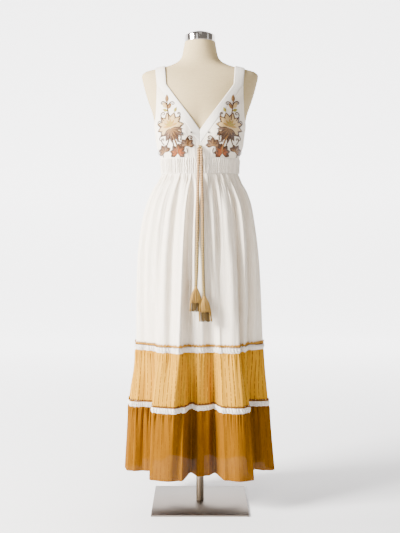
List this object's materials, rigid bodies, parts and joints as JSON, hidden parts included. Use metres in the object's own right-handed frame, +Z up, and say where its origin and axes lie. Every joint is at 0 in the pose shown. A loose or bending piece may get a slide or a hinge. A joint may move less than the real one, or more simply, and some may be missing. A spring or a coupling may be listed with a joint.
{
  "type": "maxi dress on a dress form stand",
  "caption": "Sleeveless V-neck maxi dress with shirred waist, tiered ochre and mustard hem and tasselled drawstring, on a limbless dress form with pole and square plate.",
  "frame": {"origin": "middle of the base plate's underside, on the floor, on the pole's axis", "axes": "+Z up along the pole, -Y towards the front of the dress, +X towards the right of the picture"},
  "size_m": [0.4916, 0.3356, 1.5306],
  "materials": {
    "brushed_steel": "brushed, slightly warm",
    "chrome": "polished",
    "form_linen": "matt beige linen stretched over the form",
    "white_cotton": "soft crinkled cotton, warm white",
    "white_lace": "narrow cotton lace",
    "ochre_cotton": "thin cotton with fine upright dotted stripes",
    "mustard_cotton": "thin sheer cotton with fine upright stripes",
    "brown_piping": "narrow gathered edging",
    "twisted_cord": "cream and brown twisted cord",
    "tassel_thread": "soft thread in gold and brown"
  },
  "bodies": {
    "root": {"base_plate": "brushed_steel", "pole": "brushed_steel", "neck_cap": "chrome", "form_body": "form_linen", "cup_left": "white_cotton", "cup_right": "white_cotton", "back_panel_left": "white_cotton", "back_panel_right": "white_cotton", "neck_band_left": "white_cotton", "neck_band_right": "white_cotton", "waistband_front": "white_cotton", "waistband_back": "white_cotton", "skirt_front": "white_cotton", "skirt_back": "white_cotton", "edging_one": "ochre_cotton", "lace_one_front": "white_lace", "lace_one_back": "white_lace", "tier_one_front": "ochre_cotton", "tier_one_back": "ochre_cotton", "edging_two": "brown_piping", "lace_two_front": "white_lace", "lace_two_back": "white_lace", "tier_two_front": "mustard_cotton", "tier_two_back": "mustard_cotton", "cord_knot": "twisted_cord", "cord_left": "twisted_cord", "cord_right": "twisted_cord", "tassel_left": "tassel_thread", "tassel_right": "tassel_thread"}
  },
  "joints": []
}
